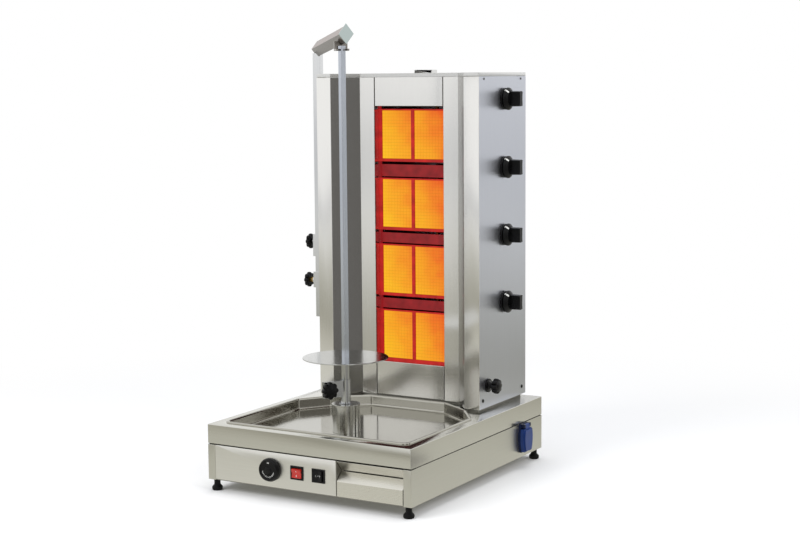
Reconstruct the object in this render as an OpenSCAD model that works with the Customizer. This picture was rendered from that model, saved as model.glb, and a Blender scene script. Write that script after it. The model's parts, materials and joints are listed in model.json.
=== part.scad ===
// Upright spit grill: four infrared burners in a steel tower behind a turning
// spit, on a base with a grease pan, a control panel and a drawer.
// Front is -Y, right is +X, up is +Z. Millimetres.

/* [Base] */
// Width of the base
base_w = 606; // [602:1:610]
// Depth of the base
base_d = 734; // [731:1:737]
// Height of the deck above the floor
deck_z = 175; // [174:0.5:177]
// Clear height under the base
foot_h = 30; // [26:1:31]
// Height of the line where the deck frame meets the lower casing
seam_z = 125; // [124.5:0.1:126]
// Thickness of the sheet metal
sheet = 2; // [1.8:0.1:2]

/* [Grease pan] */
// Depth of the pan floor under the deck
pan_depth = 25; // [20:1:26]
// Half width of the pan
pan_half_w = 268; // [262:1:272]
// Front edge of the pan
pan_front_y = -330; // [-334:1:-325]

/* [Heater tower] */
// Width of the heater tower
tower_w = 502; // [500:1:504]
// Front plane of the two corner columns
tower_front_y = 90; // [89:1:91]
// Back plane of the heater tower
tower_back_y = 370; // [368:1:371]
// Underside of the heater tower
tower_z0 = 181; // [180.6:0.1:181.5]
// Top of the heater tower
tower_z1 = 1073; // [1071:1:1075]
// How far the burners sit back between the columns
recess = 69; // [67:1:70]
// Half width of the burner opening
opening_half_w = 108; // [107:0.5:109]

/* [Burners] */
// Height of the lowest burner's centre
burner_z = 349; // [349:0.5:350]
// Distance from one burner to the next
burner_pitch = 183.5; // [183.5:0.5:184]
// Extra height of the top burner
top_burner_rise = 6; // [2:0.5:6]
// Width of one ceramic plaque
plaque_w = 92; // [88:0.5:93]
// Height of one ceramic plaque
plaque_h = 132; // [126:1:133]
// Front plane of the plaques
plaque_y = 184.5; // [184:0.1:186]
// Height of the lowest tap knob
tap_z = 455; // [454:0.5:456]
// Distance from one tap knob to the next
tap_pitch = 182.5; // [182:0.5:183]

/* [Spit] */
// Distance of the spit in front of the middle of the base
spit_y = -175; // [-180:1:-172]
// Side of the square spit bar
bar_w = 14; // [12:0.5:14]
// Radius of the plate that carries the meat
plate_r = 111; // [90:1:118]
// Height of that plate
plate_z = 342.5; // [330:0.5:360]
// Turn of the spit at rest, seen from above
spit_turn = -27; // [-180:1:180]

/* [Upper arm] */
// Height of the arm's middle line over the post
arm_z = 1142; // [1140:1:1144]
// Slope of the arm
arm_slope = 3.4; // [3.3:0.1:3.6]
// Length of the arm past the spit
arm_past = 67; // [60:1:70]

/* [Drawer] */
// Left edge of the drawer front
drawer_x0 = 91; // [90.8:0.1:92]
// Right edge of the drawer front
drawer_x1 = 279.3; // [278:0.1:279.3]
// Depth of the finger groove
groove_depth = 24; // [20:1:25]

/* [Hidden] */
$fn = 48;
// fine overlap of cutting tools past the faces they cut
cut = 1;

half_w = base_w / 2;
half_d = base_d / 2;
face_y = -half_d;
pan_z = deck_z - pan_depth;
side_x = tower_w / 2;
recess_y = tower_front_y + recess;
wall_top = tower_z1 - 10.5;
spit = [0, spit_y, 0];

// footprint of the grease pan, its back corners cut off twice to follow the tower
pan_outline = [[-pan_half_w, pan_front_y], [pan_half_w, pan_front_y], [pan_half_w, 0],
    [212, 78], [115, 145], [-115, 145], [-212, 78], [-pan_half_w, 0]];
// footprint of the heater tower with its splayed recess
tower_outline = [[-side_x, tower_front_y], [-206, tower_front_y], [-153, recess_y],
    [153, recess_y], [206, tower_front_y], [side_x, tower_front_y], [side_x, tower_back_y],
    [-side_x, tower_back_y]];
// fold line of the left column, from its outer edge to the burner opening
column_path = [[-side_x, tower_front_y], [-206, tower_front_y], [-153, recess_y],
    [-opening_half_w, recess_y], [-opening_half_w, 186]];
// heights of the four burners
burner_rows = [burner_z, burner_z + burner_pitch, burner_z + 2 * burner_pitch,
    burner_z + 3 * burner_pitch + top_burner_rise];
// screws that hold each side panel, as y and z
screw_spots = [[120, 1056], [338, 1056], [111, 202.5], [346, 202.5]];
foot_spots = [[-287, -351], [287, -351], [-287, 351], [287, 351]];
switch_z = 78;
red_x = -26.5;
black_x = 37.7;
knob_x = -106;
column_r = 36;
outlet_y = 245;
outlet_z = 84;
// open joint between the lower casing and the deck
seam_gap = 2.6;
lid_pin = [314, 118];
gland_y = 250;
gland_z = 80;
inlet = [212, 215];
drain = [185, -285];
motor_x = 48;
gear_teeth = 48;
pinion_teeth = 16;
gear_module = 1.5;
tower_knob_spot = [140, 240];
clamp_y = -58;
clamp_z = 266;
post_spot = [-265, 120];
post_top = 1130;
upper_clamp_z = 607;
lower_clamp_z = 498;
arm_turn = atan2(spit_y - post_spot[1], -post_spot[0]);
arm_reach = norm([post_spot[0], post_spot[1] - spit_y]) / cos(arm_slope);

// ---- shared shapes ----
module box(x0, x1, y0, y1, z0, z1) {
    translate([x0, y0, z0]) cube([x1 - x0, y1 - y0, z1 - z0]);
}

module rod_x(r, x0, x1, y, z) {
    translate([x0, y, z]) rotate([0, 90, 0]) cylinder(r = r, h = x1 - x0);
}

module rod_y(r, y0, y1, x, z) {
    translate([x, y1, z]) rotate([90, 0, 0]) cylinder(r = r, h = y1 - y0);
}

module rod_z(r, z0, z1, x, y) {
    translate([x, y, z0]) cylinder(r = r, h = z1 - z0);
}

// left-hand normal of the line a-b
function side_of(a, b) = [a[1] - b[1], b[0] - a[0]] / norm(b - a);

// corner b of the path a-b-c moved sideways by d, mitred
function mitre(a, b, c, d) =
    let (n1 = side_of(a, b), n2 = side_of(b, c))
    b + (n1 + n2) * d / (1 + n1 * n2);

// closed counter-clockwise outline moved inwards by d
function inset(p, d) = [for (i = [0 : len(p) - 1])
    mitre(p[(i + len(p) - 1) % len(p)], p[i], p[(i + 1) % len(p)], d)];

// open path moved to its left by d
function beside(p, d) = [for (i = [0 : len(p) - 1])
    i == 0 ? p[0] + side_of(p[0], p[1]) * d :
    i == len(p) - 1 ? p[i] + side_of(p[i - 1], p[i]) * d :
    mitre(p[i - 1], p[i], p[i + 1], d)];

// folded sheet: a path with thickness t on its left side
module folded(path, t, h) {
    back = beside(path, t);
    n = len(path);
    linear_extrude(height = h)
        polygon(concat(path, [for (i = [n - 1 : -1 : 0]) back[i]]));
}

// head of a lobed clamp knob, along +Z
module star_head(r, h) {
    linear_extrude(height = h) {
        circle(r = r * 0.82);
        for (i = [0 : 7]) rotate(i * 45 + 22.5) translate([r * 0.76, 0]) circle(r = r * 0.24);
    }
}

// gear blank with simple straight-sided teeth, thinned for running clearance
module toothed(n, m, h) {
    pitch_r = n * m / 2;
    root_r = pitch_r - 1.3 * m;
    tip_r = pitch_r + 0.85 * m;
    linear_extrude(height = h) polygon([for (i = [0 : n - 1], k = [0 : 3])
        let (a = 360 / n * (i + [-0.29, -0.1, 0.1, 0.29][k]),
             r = [root_r, tip_r, tip_r, root_r][k])
        [r * cos(a), r * sin(a)]]);
}

// ---- base ----
module lower_casing() color("#A9A99C") {
    difference() {
        box(-half_w, half_w, -half_d, half_d, foot_h, seam_z - seam_gap);
        box(-half_w + sheet, half_w - sheet, -half_d + sheet, half_d - sheet,
            foot_h - cut, seam_z + cut);
        box(-280, 281, -half_d - cut, -half_d + sheet + cut, foot_h - cut, seam_z + cut);
        box(half_w - sheet - cut, half_w + cut, outlet_y - 22, outlet_y + 22, 56, 112);
        rod_x(8.5, -half_w - cut, -half_w + sheet + cut, gland_y, gland_z);
        for (i = [0 : 7])
            box(-160 + i * 40, -136 + i * 40, half_d - sheet - cut, half_d + cut, 70, 75);
    }
    // edges of the front opening turned in
    box(-282, -280, -half_d, -half_d + 14, foot_h + 16, seam_z - seam_gap);
    box(281, 283, -half_d, -half_d + 14, foot_h + 16, seam_z - seam_gap);
}

module base_bottom() color("#8C8C86") {
    difference() {
        union() {
            box(-half_w + sheet, half_w - sheet, face_y + 3, half_d - sheet,
                foot_h, foot_h + sheet);
            for (p = foot_spots) rod_z(7, foot_h + sheet, foot_h + 14, p[0], p[1]);
        }
        for (p = foot_spots) rod_z(5.05, foot_h - cut, foot_h + 20, p[0], p[1]);
        for (i = [0 : 5])
            box(-20 + i * 18, -12 + i * 18, spit_y - 30, spit_y + 30, foot_h - cut, foot_h + 5);
    }
}

module deck() color("#BDBDB6") {
    difference() {
        box(-half_w, half_w, -half_d, half_d, seam_z, deck_z);
        box(-half_w + sheet, half_w - sheet, -half_d + sheet, half_d - sheet,
            seam_z - cut, deck_z - sheet);
        translate([0, 0, deck_z - sheet - cut]) linear_extrude(height = sheet + 2 * cut)
            polygon(inset(pan_outline, -0.2));
        box(-60, 60, 250, 330, deck_z - sheet - cut, deck_z + cut);
    }
    // lip that drops inside the casing on the sides and the back
    difference() {
        box(-half_w + sheet, half_w - sheet, -340, half_d - sheet, seam_z - 10, seam_z + 12);
        box(-half_w + sheet + 1.5, half_w - sheet - 1.5, -340 - cut, half_d - sheet - 1.5,
            seam_z - 10 - cut, seam_z + 12 + cut);
    }
}

module grease_pan() color("#C9CAC6") {
    wall = 1.6;
    difference() {
        union() {
            translate([0, 0, deck_z]) linear_extrude(height = wall)
                polygon(inset(pan_outline, -7));
            translate([0, 0, pan_z - wall]) linear_extrude(height = pan_depth + wall)
                polygon(pan_outline);
        }
        translate([0, 0, pan_z]) linear_extrude(height = pan_depth + wall + cut)
            polygon(inset(pan_outline, wall));
        rod_z(10.2, pan_z - wall - cut, pan_z + cut, drain[0], drain[1]);
        rod_z(18, pan_z - wall - cut, pan_z + cut, 0, spit_y);
    }
}

// short pipe under the pan's drain hole, over the drawer
module pan_spout() color("#BDBDB8") translate([drain[0], drain[1], 0]) difference() {
    union() {
        translate([0, 0, 132]) cylinder(r = 12, h = pan_z - 133.7);
        translate([0, 0, pan_z - 3.2]) cylinder(r = 17, h = 1.5);
    }
    translate([0, 0, 132 - cut]) cylinder(r = 10, h = 20);
}

module foot(spot) color("#111111") translate([spot[0], spot[1], 0]) {
    cylinder(r1 = 12, r2 = 14, h = 3);
    translate([0, 0, 3]) cylinder(r = 14, h = 6);
    translate([0, 0, 9]) cylinder(r1 = 14, r2 = 8.2, h = 6);
    translate([0, 0, 15]) cylinder(r = 8.2, h = foot_h - 15.4);
    translate([0, 0, foot_h - 0.4]) cylinder(r = 5, h = 13);
}

module foot_fl() foot(foot_spots[0]);
module foot_fr() foot(foot_spots[1]);
module foot_rl() foot(foot_spots[2]);
module foot_rr() foot(foot_spots[3]);

// ---- front controls ----
module control_panel() color("#B4B5AE") {
    difference() {
        union() {
            box(-279.5, 88.5, face_y, face_y + sheet, 32.5, 122.5);
            box(-276, 88.5, face_y + sheet, face_y + 14, 32.5, 34.5);
            box(-280, 88.5, face_y + sheet, face_y + 14, 120.5, 122.5);
            box(86.5, 88.5, face_y + sheet, face_y + 14, 34.5, 120.5);
        }
        rod_y(6, face_y - cut, face_y + sheet + cut, knob_x, switch_z);
        for (x = [red_x, black_x])
            box(x - 16.5, x + 16.5, face_y - cut, face_y + sheet + cut,
                switch_z - 15, switch_z + 15);
    }
}

module speed_knob() color("#161616") {
    rod_y(26, -383, -381, knob_x, switch_z);
    translate([knob_x, -381, switch_z]) rotate([-90, 0, 0]) cylinder(r1 = 28, r2 = 30, h = 6);
    rod_y(30, -375, -367.6, knob_x, switch_z);
    rod_y(3, -367.6, -350, knob_x, switch_z);
}

module speed_control() color("#3A3A3C") {
    difference() {
        union() {
            rod_y(5.6, -366, -365, knob_x, switch_z);
            rod_y(18, -365, -343, knob_x, switch_z);
            box(knob_x - 30, knob_x + 30, -343, -341, switch_z - 34, switch_z + 34);
        }
        rod_y(3.05, -368, -348, knob_x, switch_z);
    }
}

module switch_body(x, turn) color("#0E0E10") {
    difference() {
        union() {
            box(x - 19, x + 19, face_y - 2.5, face_y, switch_z - 17.5, switch_z + 17.5);
            box(x - 16.3, x + 16.3, face_y, face_y + 24, switch_z - 14.8, switch_z + 14.8);
        }
        box(x - 14.6, x + 14.6, face_y - 3, face_y + 13, switch_z - 13.3, switch_z + 13.3);
    }
    // pin the rocker turns on
    translate([x, face_y + 6, switch_z]) rotate([0, turn, 0])
        cylinder(r = 1.5, h = turn == 0 ? 28 : 30, center = true);
}

// rocker on its pin, its front a shallow V: w across, len along the pin
module rocker(x, turn, tilt, w, len) {
    translate([x, face_y + 6, switch_z]) rotate([0, turn, 0]) rotate([0, 0, tilt]) difference() {
        translate([0, 0, -len / 2]) linear_extrude(height = len)
            polygon([[-w, -12], [0, -9], [w, -12], [w + 0.6, -3], [5, 5], [-5, 5],
                [-w - 0.6, -3]]);
        cylinder(r = 1.55, h = len + 2 * cut, center = true);
    }
}

module red_switch() switch_body(red_x, 90);
module black_switch() switch_body(black_x, 0);
module red_rocker() color("#D8342A") rocker(red_x, 90, 7, 11, 28);
module black_rocker() color("#19191B") rocker(black_x, 0, 0, 12, 26);

// ---- drawer ----
module drawer_bay() color("#8F908A") {
    box(88.5, 90.1, face_y + 2.5, 60, foot_h + sheet, 123);
    box(281.2, 282.8, -342, 60, foot_h + sheet, 123);
    box(88.5, 282.8, 60, 61.6, foot_h + sheet, 123);
    // runners
    box(90.1, 96.4, -335, 60, 70, 73.6);
    box(274, 281.2, -335, 60, 70, 73.6);
}

module drawer_box() color("#B9BAB4") {
    difference() {
        box(97, 273, -341, 20, 36, 112);
        box(98.6, 271.4, -339.4, 18.4, 37.6, 112 + cut);
        box(104, 266, -341 - cut, -339, 90, 112 + cut);
    }
    box(91, 97, -330, 20, 74, 76);
    box(273, 279.6, -330, 20, 74, 76);
}

// front: one folded sheet with a V-shaped finger groove along its upper half
module drawer_front() color("#B4B5AE") {
    fold = face_y + groove_depth;
    path = [[fold + 2, 32.6], [face_y, 32.6], [face_y, 71], [fold, 92], [fold, 95],
        [face_y, 121.5], [fold + 2, 121.5]];
    difference() {
        translate([drawer_x0, 0, 0]) rotate([90, 0, 90])
            linear_extrude(height = drawer_x1 - drawer_x0)
                polygon(concat(path, [for (i = [6 : -1 : 0]) beside(path, -sheet)[i]]));
        // slot along the bottom of the groove
        box(drawer_x0 + 5, drawer_x1 - 5, fold - 1, fold + 4, 92, 95);
    }
}

// ---- power outlet on the right side ----
// barrel-shaped outline of the outlet: two wide arcs that meet over and under it
module barrel(r, x0, x1, z0, z1) intersection() {
    box(x0, x1, outlet_y - 30, outlet_y + 30, z0, z1);
    rod_x(r, x0 - cut, x1 + cut, outlet_y - 66, outlet_z);
    rod_x(r, x0 - cut, x1 + cut, outlet_y + 66, outlet_z);
}

module outlet_box() color("#1A2A50") {
    difference() {
        union() {
            barrel(94, half_w, 309, 44, 123);
            box(262, half_w, outlet_y - 21.5, outlet_y + 21.5, 56.5, 111.5);
            for (y = [outlet_y - 19.5, outlet_y + 12.5])
                box(309, 319, y, y + 7, 113, 122.5);
        }
        rod_x(19, 274, 310, outlet_y, outlet_z);
        rod_x(14, half_w - cut, 310, outlet_y, 35);
    }
    rod_y(2, outlet_y - 15, outlet_y + 15, lid_pin[0], lid_pin[1]);
    // earth clips at the wall of the well
    box(274, 300, outlet_y - 4, outlet_y + 4, outlet_z + 16.5, outlet_z + 20);
    box(274, 300, outlet_y - 4, outlet_y + 4, outlet_z - 20, outlet_z - 16.5);
}

module outlet_lid() color("#3B5EA6") {
    difference() {
        union() {
            rod_y(4.6, outlet_y - 12, outlet_y + 12, lid_pin[0], lid_pin[1]);
            box(311, 319, outlet_y - 12, outlet_y + 12, 108, 118);
            barrel(93, 309.5, 319, 46, 109.4);
            barrel(89, 319, 323, 49, 107);
        }
        rod_y(2.06, outlet_y - 30, outlet_y + 30, lid_pin[0], lid_pin[1]);
        box(309, 316, outlet_y - 19, outlet_y + 19, 53, 106);
        // finger notch at the lower edge
        rod_x(14, 309, 324, outlet_y, 35);
    }
}

module cable_gland() color("#222222") {
    difference() {
        union() {
            translate([-half_w, gland_y, gland_z]) rotate([0, -90, 0])
                cylinder(r = 14, h = 9, $fn = 6);
            translate([-half_w - 9, gland_y, gland_z]) rotate([0, -90, 0])
                cylinder(r1 = 11.5, r2 = 8.5, h = 11);
            rod_x(8.3, -half_w, -half_w + 14, gland_y, gland_z);
        }
        rod_x(4.5, -half_w - 30, -half_w, gland_y, gland_z);
        rod_x(6, -half_w - 0.5, -half_w + 20, gland_y, gland_z);
    }
}

// ---- drive ----
module drive_column() color("#C2C3C0") {
    difference() {
        union() {
            rod_z(column_r, pan_z, 221, 0, spit_y);
            rod_z(column_r + 1.2, 221, 224, 0, spit_y);
        }
        difference() {
            rod_z(column_r - 3, pan_z - cut, 219, 0, spit_y);
            rod_z(16, 190, 220, 0, spit_y);
        }
        rod_z(10.05, pan_z, 230, 0, spit_y);
    }
}

module drive_bracket() color("#77776F") {
    difference() {
        union() {
            box(-46, 84, spit_y - 36, spit_y + 36, 130, 134);
            box(-46, 84, spit_y - 36, spit_y + 36, 104, 108);
            box(-46, -43, spit_y - 36, spit_y + 36, 108, 130);
            box(81, 84, spit_y - 36, spit_y + 36, 108, 130);
            for (x = [-40, 76], y = [-30, 30])
                rod_z(5, 134, pan_z - 1.6, x, spit_y + y);
        }
        rod_z(10.05, 100, 140, 0, spit_y);
        rod_z(6, 100, 110, motor_x, spit_y);
    }
}

module drive_shaft() color("#9A9C9E") translate(spit) {
    translate([0, 0, 100]) cylinder(r = 10, h = 126);
    translate([0, 0, 224.4]) cylinder(r = 17, h = 1.6);
    translate([0, 0, 100]) cylinder(r = 14, h = 3.6);
}

module drive_gear() color("#B08D57") translate([0, spit_y, 112]) difference() {
    toothed(gear_teeth, gear_module, 10);
    translate([0, 0, -cut]) cylinder(r = 10, h = 12);
    for (i = [0 : 5]) rotate(i * 60) translate([21, 0, -cut]) cylinder(r = 6, h = 12);
}

module gear_motor() color("#4A4C50") {
    difference() {
        union() {
            rod_z(28, 46, 96, motor_x, spit_y);
            rod_z(31, 96, 104, motor_x, spit_y);
        }
        rod_z(4.05, 90, 105, motor_x, spit_y);
    }
    box(motor_x + 20, motor_x + 36, spit_y - 12, spit_y + 12, 56, 84);
}

module motor_pinion() color("#C9A24A") translate([motor_x, spit_y, 0]) {
    translate([0, 0, 112]) rotate(180 + 180 / pinion_teeth)
        toothed(pinion_teeth, gear_module, 10);
    translate([0, 0, 91]) cylinder(r = 4, h = 33);
}

// ---- spit ----
// socket: slit round tube with two ears drawn together by a clamp knob
module spit_socket() color("#BFC2C4") translate(spit) rotate(spit_turn) difference() {
    union() {
        rod_z(12.5, 226, 288, 0, 0);
        box(-6, 6, -68, -10, 244, 286);
    }
    box(-7, 7, -7, 7, 238, 289);
    box(-1.5, 1.5, -69, -6.9, 236, 289);
    rod_x(4.05, -10, 10, clamp_y, clamp_z);
}

module socket_knob() color("#121212") translate(spit) rotate(spit_turn)
    translate([0, clamp_y, clamp_z]) rotate([0, 90, 0]) {
        translate([0, 0, -12]) cylinder(r = 4, h = 20);
        translate([0, 0, -13]) cylinder(r = 8, h = 6, $fn = 6);
        translate([0, 0, 7]) cylinder(r = 9, h = 4);
        translate([0, 0, 11]) star_head(23, 15);
        translate([0, 0, 26]) cylinder(r1 = 15, r2 = 10, h = 4);
    }

module spit_bar() color("#B4BBC9") translate(spit) rotate(spit_turn)
    translate([-bar_w / 2, -bar_w / 2, 238]) cube([bar_w, bar_w, 903.5]);

module spit_plate() color("#CDCFD2") translate(spit) rotate(spit_turn) difference() {
    union() {
        translate([0, 0, plate_z]) cylinder(r = plate_r, h = 3, $fn = 96);
        translate([0, 0, 288]) cylinder(r = 10.5, h = plate_z - 288);
    }
    translate([-bar_w / 2, -bar_w / 2, 287]) cube([bar_w, bar_w, plate_z - 280]);
}

// ---- heater tower ----
module heater_floor() color("#6E6E69") difference() {
    union() {
        translate([0, 0, tower_z0]) linear_extrude(height = sheet)
            polygon(inset(tower_outline, sheet));
        translate([0, 0, deck_z]) linear_extrude(height = tower_z0 - deck_z) difference() {
            polygon(inset(tower_outline, 10));
            polygon(inset(tower_outline, 26));
        }
    }
    box(-60, 60, 250, 330, deck_z - cut, tower_z0 + sheet + cut);
    for (x = [-opening_half_w - 2.3, opening_half_w - 0.3])
        box(x, x + 2.6, recess_y, 186.3, tower_z0 - cut, tower_z0 + sheet + cut);
}

// uprights in the four corners, standing on the floor and carrying the cap
module tower_frame() color("#85867F") difference() {
    for (s = [-1, 1]) {
        x = s * (side_x - sheet);
        for (f = [[tower_front_y + sheet, 132], [tower_back_y - sheet, 328]]) {
            box(min(x, x - 2 * s), max(x, x - 2 * s), min(f), max(f),
                tower_z0 + sheet, tower_z1 - sheet);
            box(min(x, x - 24 * s), max(x, x - 24 * s), min(f[0], f[0] + sign(f[1] - f[0]) * 2),
                max(f[0], f[0] + sign(f[1] - f[0]) * 2), tower_z0 + sheet, tower_z1 - sheet);
        }
    }
    for (p = screw_spots) rod_x(2.2, -side_x, side_x, p[0], p[1]);
}

module side_panel_left() color("#C5C8D2") difference() {
    box(-side_x, -side_x + sheet, tower_front_y + sheet, tower_back_y, tower_z0, wall_top);
    for (p = screw_spots) rod_x(2.2, -side_x - cut, 0, p[0], p[1]);
}

module side_panel_right() color("#C5C8D2") difference() {
    union() {
        box(side_x - sheet, side_x, tower_front_y + sheet, tower_back_y, tower_z0, wall_top);
        box(side_x - 10, side_x - sheet, tower_knob_spot[0] - 7.5, tower_knob_spot[0] + 10,
            tower_knob_spot[1] - 10, tower_knob_spot[1] + 10);
    }
    rod_x(4.05, side_x - 12, side_x + cut, tower_knob_spot[0], tower_knob_spot[1]);
    for (i = [0 : 3])
        rod_x(7, side_x - sheet - cut, side_x + cut, 240, tap_z + i * tap_pitch);
    for (p = screw_spots) rod_x(2.2, 0, side_x + cut, p[0], p[1]);
}

// the two folded columns beside the burners
module front_columns() color("#E4E4E2") for (side = [0, 1])
    mirror([side, 0, 0]) translate([0, 0, tower_z0])
        folded(column_path, sheet, wall_top - tower_z0);

// flanged panels above and below the burners
module front_panels() color("#D8D8D4") {
    box(-106, 106, recess_y, recess_y + sheet, 984, wall_top);
    box(-106, 106, recess_y + sheet, 181, 984, 986);
    for (x = [-106, 104]) box(x, x + 2, recess_y + sheet, 181, 986, wall_top);
    box(-106, 106, recess_y, recess_y + sheet, 183, 276);
    box(-106, 106, recess_y + sheet, 181, 274, 276);
    for (x = [-106, 104]) box(x, x + 2, recess_y + sheet, 181, 183, 274);
}

// rails behind the edges of the opening, with a cross plate in each gap between burners
module burner_rails() color("#8C2228") {
    for (x = [-opening_half_w, opening_half_w - 4]) box(x, x + 4, 184, 200, 262, 998);
    for (i = [0 : 2])
        box(-opening_half_w + 2, opening_half_w - 2, 187, 189,
            burner_rows[i] + plaque_h / 2 + 8, burner_rows[i + 1] - plaque_h / 2 - 16);
}

module back_panel() color("#9D9E98") difference() {
    box(-side_x + sheet, side_x - sheet, tower_back_y - sheet, tower_back_y,
        tower_z0, wall_top);
    rod_y(12, tower_back_y - 5, tower_back_y + 5, inlet[0], inlet[1]);
    for (z = [260, 290, 930, 960, 990], i = [0 : 6])
        box(-165 + i * 50, -135 + i * 50, tower_back_y - 5, tower_back_y + 5, z, z + 6);
}

module top_cap() color("#D5D6D2") {
    difference() {
        translate([0, 0, tower_z1 - 10]) linear_extrude(height = 10) polygon(tower_outline);
        translate([0, 0, tower_z1 - 10 - cut]) linear_extrude(height = 8 + cut)
            polygon(inset(tower_outline, sheet));
    }
    // low cowl over the flue slot
    difference() {
        box(-28, 28, 242, 272, tower_z1, tower_z1 + 9);
        box(-26, 26, 240, 270, tower_z1, tower_z1 + 7.5);
    }
}

// screws of both side panels: small domes on top, black caps below
module panel_screws() color("#3A3A3A")
    for (s = [-1, 1], i = [0 : 3]) {
        y = screw_spots[i][0];
        z = screw_spots[i][1];
        r = i < 2 ? 3.2 : 5;
        rod_x(r, min(s * side_x, s * (side_x + 2)), max(s * side_x, s * (side_x + 2)), y, z);
        rod_x(2, min(s * side_x, s * (side_x - 10)), max(s * side_x, s * (side_x - 10)), y, z);
    }

// one burner: front flange round two pockets for the plaques, and a mixing space behind
module burner(i) color("#B3212A") translate([0, 0, burner_rows[i]]) difference() {
    union() {
        box(-opening_half_w + 0.5, opening_half_w - 0.5, 181, 184,
            -plaque_h / 2 - 8, plaque_h / 2 + 4);
        box(-101, 101, 184, 236, -plaque_h / 2 - 4, plaque_h / 2 + 4);
    }
    for (s = [-1, 1])
        translate([s * 51, 0, 0])
            box(-plaque_w / 2 - 0.3, plaque_w / 2 + 0.3, 180, 197.5,
                -plaque_h / 2 - 0.3, plaque_h / 2 + 0.3);
    box(-94, 94, 197, 232, -60, 60);
    rod_z(4, 50, 75, 60, 212);
}

module burner_1() burner(0);
module burner_2() burner(1);
module burner_3() burner(2);
module burner_4() burner(3);

module plaques() color("#F5B81C")
    for (i = [0 : 3], s = [-1, 1])
        translate([s * 51, 0, burner_rows[i]])
            box(-plaque_w / 2, plaque_w / 2, plaque_y, 197.5, -plaque_h / 2, plaque_h / 2);

module gas_rail() color("#A08A5A") {
    difference() {
        union() {
            rod_z(9, 200, 1016, inlet[0], 262);
            rod_y(9, 262, 371.5, inlet[0], inlet[1]);
            for (i = [0 : 3]) {
                z = tap_z + i * tap_pitch;
                top = burner_rows[i] + plaque_h / 2 + 4;
                box(203, side_x - sheet, 227, 255, z - 13, z + 13);
                rod_x(5, 60, 204, 240, z);
                rod_y(5, 212, 240, 60, z);
                translate([60, 240, z]) sphere(r = 5);
                translate([60, 212, z]) sphere(r = 5);
                rod_z(5, top, z, 60, 212);
            }
        }
        for (i = [0 : 3])
            rod_x(4.05, 230, side_x, 240, tap_z + i * tap_pitch);
        rod_y(5, 355, 372, inlet[0], inlet[1]);
    }
}

// union nut at the end of the gas pipe
module inlet_nut() color("#B89B55") difference() {
    translate([inlet[0], 383, inlet[1]]) rotate([90, 0, 0]) cylinder(r = 15, h = 11.3, $fn = 6);
    rod_y(6, 371, 384, inlet[0], inlet[1]);
}

// tap knob: flange, pinched neck, skirt and a flat-sided grip, on its spindle
module tap_knob(i) color("#101010") translate([0, 240, tap_z + i * tap_pitch]) {
    rod_x(4, 233, 252, 0, 0);
    rod_x(29, 251.6, 257, 0, 0);
    rod_x(22, 257, 260, 0, 0);
    rod_x(30, 260, 265, 0, 0);
    translate([265, 0, 0]) rotate([0, 90, 0]) cylinder(r1 = 30, r2 = 21, h = 7);
    intersection() {
        rod_x(21, 272, 301, 0, 0);
        box(270, 302, -9, 9, -22, 22);
    }
}

module tap_knob_1() tap_knob(0);
module tap_knob_2() tap_knob(1);
module tap_knob_3() tap_knob(2);
module tap_knob_4() tap_knob(3);

module tower_knob() color("#141414")
    translate([0, tower_knob_spot[0], tower_knob_spot[1]]) rotate([0, 90, 0]) {
        translate([0, 0, 238]) cylinder(r = 4, h = 14);
        translate([0, 0, side_x + 0.5]) cylinder(r = 18.5, h = 4);
        translate([0, 0, side_x + 4.5]) cylinder(r1 = 13, r2 = 8, h = 6);
        translate([0, 0, side_x + 10.5]) cylinder(r = 8, h = 7);
        translate([0, 0, side_x + 17.5]) star_head(20.5, 16);
        translate([0, 0, side_x + 33.5]) cylinder(r1 = 13, r2 = 8, h = 5);
    }

// ---- upper arm ----
module post_sleeves() color("#B9BBBD") {
    for (s = [[566, 628, upper_clamp_z], [478, 522, lower_clamp_z]]) difference() {
        union() {
            box(-281, -side_x, 107, 133, s[0], s[1]);
            rod_x(8, -287, -281, 120, s[2]);
        }
        box(-277.35, -252.65, 111.65, 128.35, s[0] - cut, s[1] + cut);
        rod_x(3.05, -288, -276, 120, s[2]);
    }
}

module arm_post() color("#D9DADC") difference() {
    box(-277, -253, 112, 128, 395, post_top);
    box(-275, -255, 114, 126, 394, post_top + 1);
}

// rhombic bar along the arm, from a to b past the post, with half diagonals w and h
module arm_bar(a, b, w, h)
    translate([post_spot[0], post_spot[1], arm_z]) rotate([0, 0, arm_turn])
        rotate([0, -arm_slope, 0]) translate([a, 0, 0]) rotate([90, 0, 90])
            linear_extrude(height = b - a) polygon([[w, 0], [0, h], [-w, 0], [0, -h]]);

module spit_arm() color("#A8998A") {
    difference() {
        arm_bar(-13, arm_reach + arm_past - 4, 15.5, 21.5);
        arm_bar(-11, arm_reach + arm_past - 2, 13, 18);
        box(-277, -253, 112, 128, 1100, post_top);
    }
    arm_bar(arm_reach + arm_past - 4, arm_reach + arm_past, 19, 26);
}

// fork that steadies the top of the spit, open to the front
module arm_fork() color("#1C1C1C") difference() {
    translate(spit) rotate(arm_turn) difference() {
        union() {
            box(-22, 14, -17, 17, 1129, 1134);
            box(-22, -13, -17, 17, 1134, 1153);
        }
        box(-11.5, 15, -11.5, 11.5, 1128, 1135);
    }
    arm_bar(-13, arm_reach + arm_past, 15.5, 21.5);
}

module post_knob(z, gap) {
    color("#121212") translate([0, 120, z]) rotate([0, -90, 0]) {
        translate([0, 0, 278.2]) cylinder(r = 3, h = 10);
        translate([0, 0, 287.6]) cylinder(r = 7, h = gap);
        translate([0, 0, 287.6 + gap]) star_head(21, 12);
        translate([0, 0, 299.6 + gap]) cylinder(r1 = 13, r2 = 9, h = 3);
    }
}

module post_knob_upper() post_knob(upper_clamp_z, 3);
module post_knob_lower() post_knob(lower_clamp_z, 10);

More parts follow.
